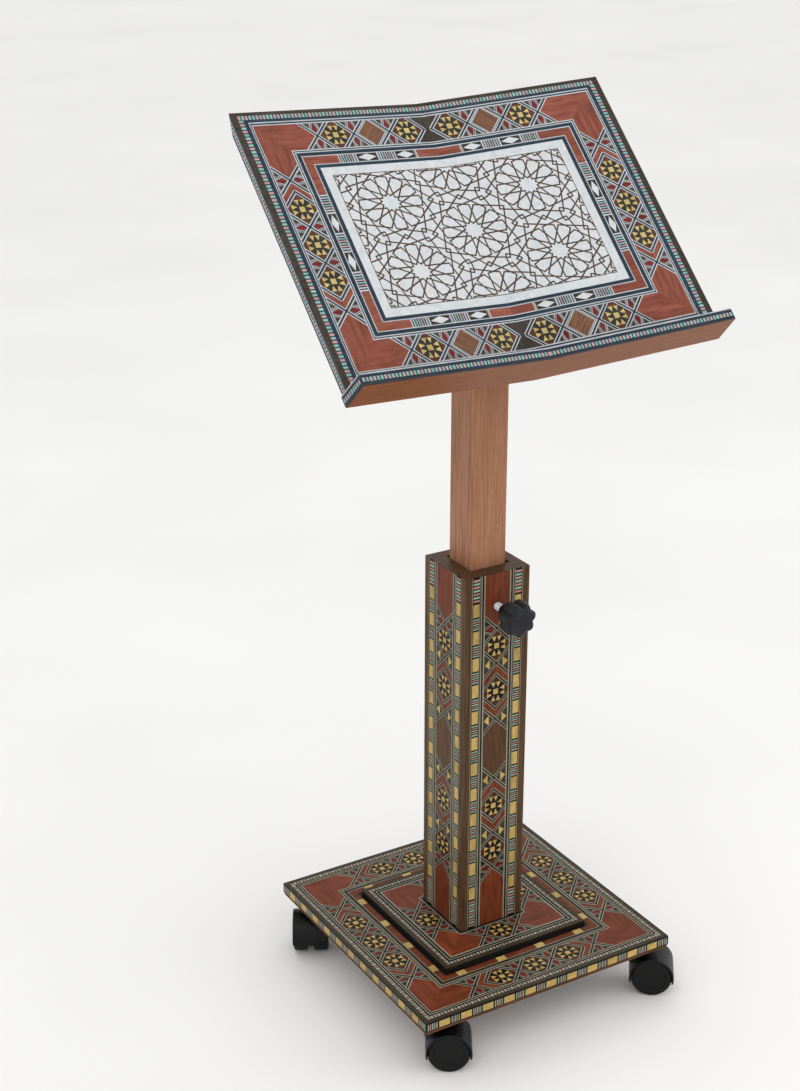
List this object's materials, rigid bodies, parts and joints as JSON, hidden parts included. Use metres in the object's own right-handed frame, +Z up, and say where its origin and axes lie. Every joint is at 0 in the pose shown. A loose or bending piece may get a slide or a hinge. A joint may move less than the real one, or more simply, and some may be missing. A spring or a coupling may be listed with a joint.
{
  "type": "quran stand",
  "caption": "Floor-standing book stand: square inlaid base on twin-wheel casters, hollow column with clamped sliding post, and a tilting V-shaped desk with a ledge.",
  "frame": {"origin": "on the floor, on the axis of the column, midway between the overall extents", "axes": "+Z up, -Y towards the reader, +X to the reader's right"},
  "size_m": [0.482, 0.3936, 1.0727],
  "materials": {
    "plywood": "bare plywood",
    "black_lacquer": "black painted",
    "marquetry": "lacquered wood marquetry",
    "desk_marquetry": "lacquered wood and shell marquetry",
    "walnut": "lacquered walnut",
    "beech": "lacquered light wood",
    "red_wood": "lacquered red-brown wood",
    "steel": "bright zinc",
    "brass": "turned brass",
    "black_knob": "moulded black plastic",
    "black_caster": "moulded black plastic"
  },
  "bodies": {
    "stand": {"base_board": "plywood", "base_top_inlay": "marquetry", "base_edge_front": "marquetry", "base_edge_right": "marquetry", "base_edge_back": "marquetry", "base_edge_left": "marquetry", "plinth": "black_lacquer", "plinth_inlay": "marquetry", "column_screws": "steel", "column_wall_front": "walnut", "column_wall_right": "walnut", "column_wall_back": "walnut", "column_wall_left": "walnut", "column_inlay_front": "marquetry", "column_inlay_right": "marquetry", "column_inlay_back": "marquetry", "column_inlay_left": "marquetry", "clamp_insert": "brass", "caster_screws": "steel", "caster_plate_front_left": "steel", "caster_plate_front_right": "steel", "caster_plate_back_left": "steel", "caster_plate_back_right": "steel"},
    "mast": {"post": "beech", "tilt_bolt": "steel"},
    "desk": {"leaf_left": "walnut", "leaf_right": "walnut", "leaf_inlay_left": "desk_marquetry", "leaf_inlay_right": "desk_marquetry", "leaf_edge_left": "desk_marquetry", "leaf_edge_right": "desk_marquetry", "ledge_left": "red_wood", "ledge_right": "red_wood", "ledge_inlay_left": "desk_marquetry", "ledge_inlay_right": "desk_marquetry", "desk_batten": "red_wood", "batten_screws": "steel", "desk_tongue": "red_wood"},
    "clamp_pad": {"clamp_pad": "brass"},
    "clamp_handle": {"clamp_stud": "steel", "clamp_knob": "black_knob"},
    "tilt_washer": {"tilt_washer": "steel"},
    "tilt_handle": {"tilt_knob": "black_knob", "tilt_knob_nut": "brass"},
    "swivel_front_left": {"caster_hood_front_left": "black_caster", "caster_axle_front_left": "steel"},
    "wheel_a_front_left": {"wheel_a_front_left": "black_caster"},
    "wheel_b_front_left": {"wheel_b_front_left": "black_caster"},
    "swivel_front_right": {"caster_hood_front_right": "black_caster", "caster_axle_front_right": "steel"},
    "wheel_a_front_right": {"wheel_a_front_right": "black_caster"},
    "wheel_b_front_right": {"wheel_b_front_right": "black_caster"},
    "swivel_back_left": {"caster_hood_back_left": "black_caster", "caster_axle_back_left": "steel"},
    "wheel_a_back_left": {"wheel_a_back_left": "black_caster"},
    "wheel_b_back_left": {"wheel_b_back_left": "black_caster"},
    "swivel_back_right": {"caster_hood_back_right": "black_caster", "caster_axle_back_right": "steel"},
    "wheel_a_back_right": {"wheel_a_back_right": "black_caster"},
    "wheel_b_back_right": {"wheel_b_back_right": "black_caster"}
  },
  "joints": [
    {"name": "height_slide", "type": "slide", "parent": "stand", "child": "mast", "axis": [0, 0, 1], "range_m": [-0.2, 0.1]},
    {"name": "desk_tilt", "type": "hinge", "parent": "mast", "child": "desk", "pos_m": [0, 0, 0.8549], "axis": [1, 0, 0], "range_deg": [-29, 26]},
    {"name": "clamp_advance", "type": "slide", "parent": "stand", "child": "clamp_pad", "axis": [0, -1, 0], "range_m": [0, 0.0031]},
    {"name": "clamp_turn", "type": "hinge", "parent": "clamp_pad", "child": "clamp_handle", "pos_m": [0, -0.09, 0.512], "axis": [0, -1, 0], "range_deg": [0, 720]},
    {"name": "tilt_knob_advance", "type": "slide", "parent": "mast", "child": "tilt_washer", "axis": [1, 0, 0], "range_m": [0, 0.0026]},
    {"name": "tilt_knob_turn", "type": "hinge", "parent": "tilt_washer", "child": "tilt_handle", "pos_m": [0.04, 0, 0.8549], "axis": [1, 0, 0], "range_deg": [0, 720]},
    {"name": "caster_swivel_front_left", "type": "hinge", "parent": "stand", "child": "swivel_front_left", "pos_m": [-0.149, -0.149, 0.054], "axis": [0, 0, 1], "continuous": true},
    {"name": "wheel_a_spin_front_left", "type": "hinge", "parent": "swivel_front_left", "child": "wheel_a_front_left", "pos_m": [-0.13357, -0.15827, 0.025], "axis": [0.515, 0.8572, 0], "continuous": true},
    {"name": "wheel_b_spin_front_left", "type": "hinge", "parent": "swivel_front_left", "child": "wheel_b_front_left", "pos_m": [-0.13357, -0.15827, 0.025], "axis": [0.515, 0.8572, 0], "continuous": true},
    {"name": "caster_swivel_front_right", "type": "hinge", "parent": "stand", "child": "swivel_front_right", "pos_m": [0.149, -0.149, 0.054], "axis": [0, 0, 1], "continuous": true},
    {"name": "wheel_a_spin_front_right", "type": "hinge", "parent": "swivel_front_right", "child": "wheel_a_front_right", "pos_m": [0.16337, -0.15983, 0.025], "axis": [0.6018, 0.7986, 0], "continuous": true},
    {"name": "wheel_b_spin_front_right", "type": "hinge", "parent": "swivel_front_right", "child": "wheel_b_front_right", "pos_m": [0.16337, -0.15983, 0.025], "axis": [0.6018, 0.7986, 0], "continuous": true},
    {"name": "caster_swivel_back_left", "type": "hinge", "parent": "stand", "child": "swivel_back_left", "pos_m": [-0.149, 0.149, 0.054], "axis": [0, 0, 1], "continuous": true},
    {"name": "wheel_a_spin_back_left", "type": "hinge", "parent": "swivel_back_left", "child": "wheel_a_back_left", "pos_m": [-0.158, 0.13341, 0.025], "axis": [0.866, -0.5, 0], "continuous": true},
    {"name": "wheel_b_spin_back_left", "type": "hinge", "parent": "swivel_back_left", "child": "wheel_b_back_left", "pos_m": [-0.158, 0.13341, 0.025], "axis": [0.866, -0.5, 0], "continuous": true},
    {"name": "caster_swivel_back_right", "type": "hinge", "parent": "stand", "child": "swivel_back_right", "pos_m": [0.149, 0.149, 0.054], "axis": [0, 0, 1], "continuous": true},
    {"name": "wheel_a_spin_back_right", "type": "hinge", "parent": "swivel_back_right", "child": "wheel_a_back_right", "pos_m": [0.14131, 0.16527, 0.025], "axis": [-0.9041, -0.4274, 0], "continuous": true},
    {"name": "wheel_b_spin_back_right", "type": "hinge", "parent": "swivel_back_right", "child": "wheel_b_back_right", "pos_m": [0.14131, 0.16527, 0.025], "axis": [-0.9041, -0.4274, 0], "continuous": true}
  ],
  "couplings": [
    {"joint": "clamp_advance", "follows": "clamp_turn", "m_per_rad": 0.00023873},
    {"joint": "tilt_knob_advance", "follows": "tilt_knob_turn", "m_per_rad": 0.00019894}
  ]
}
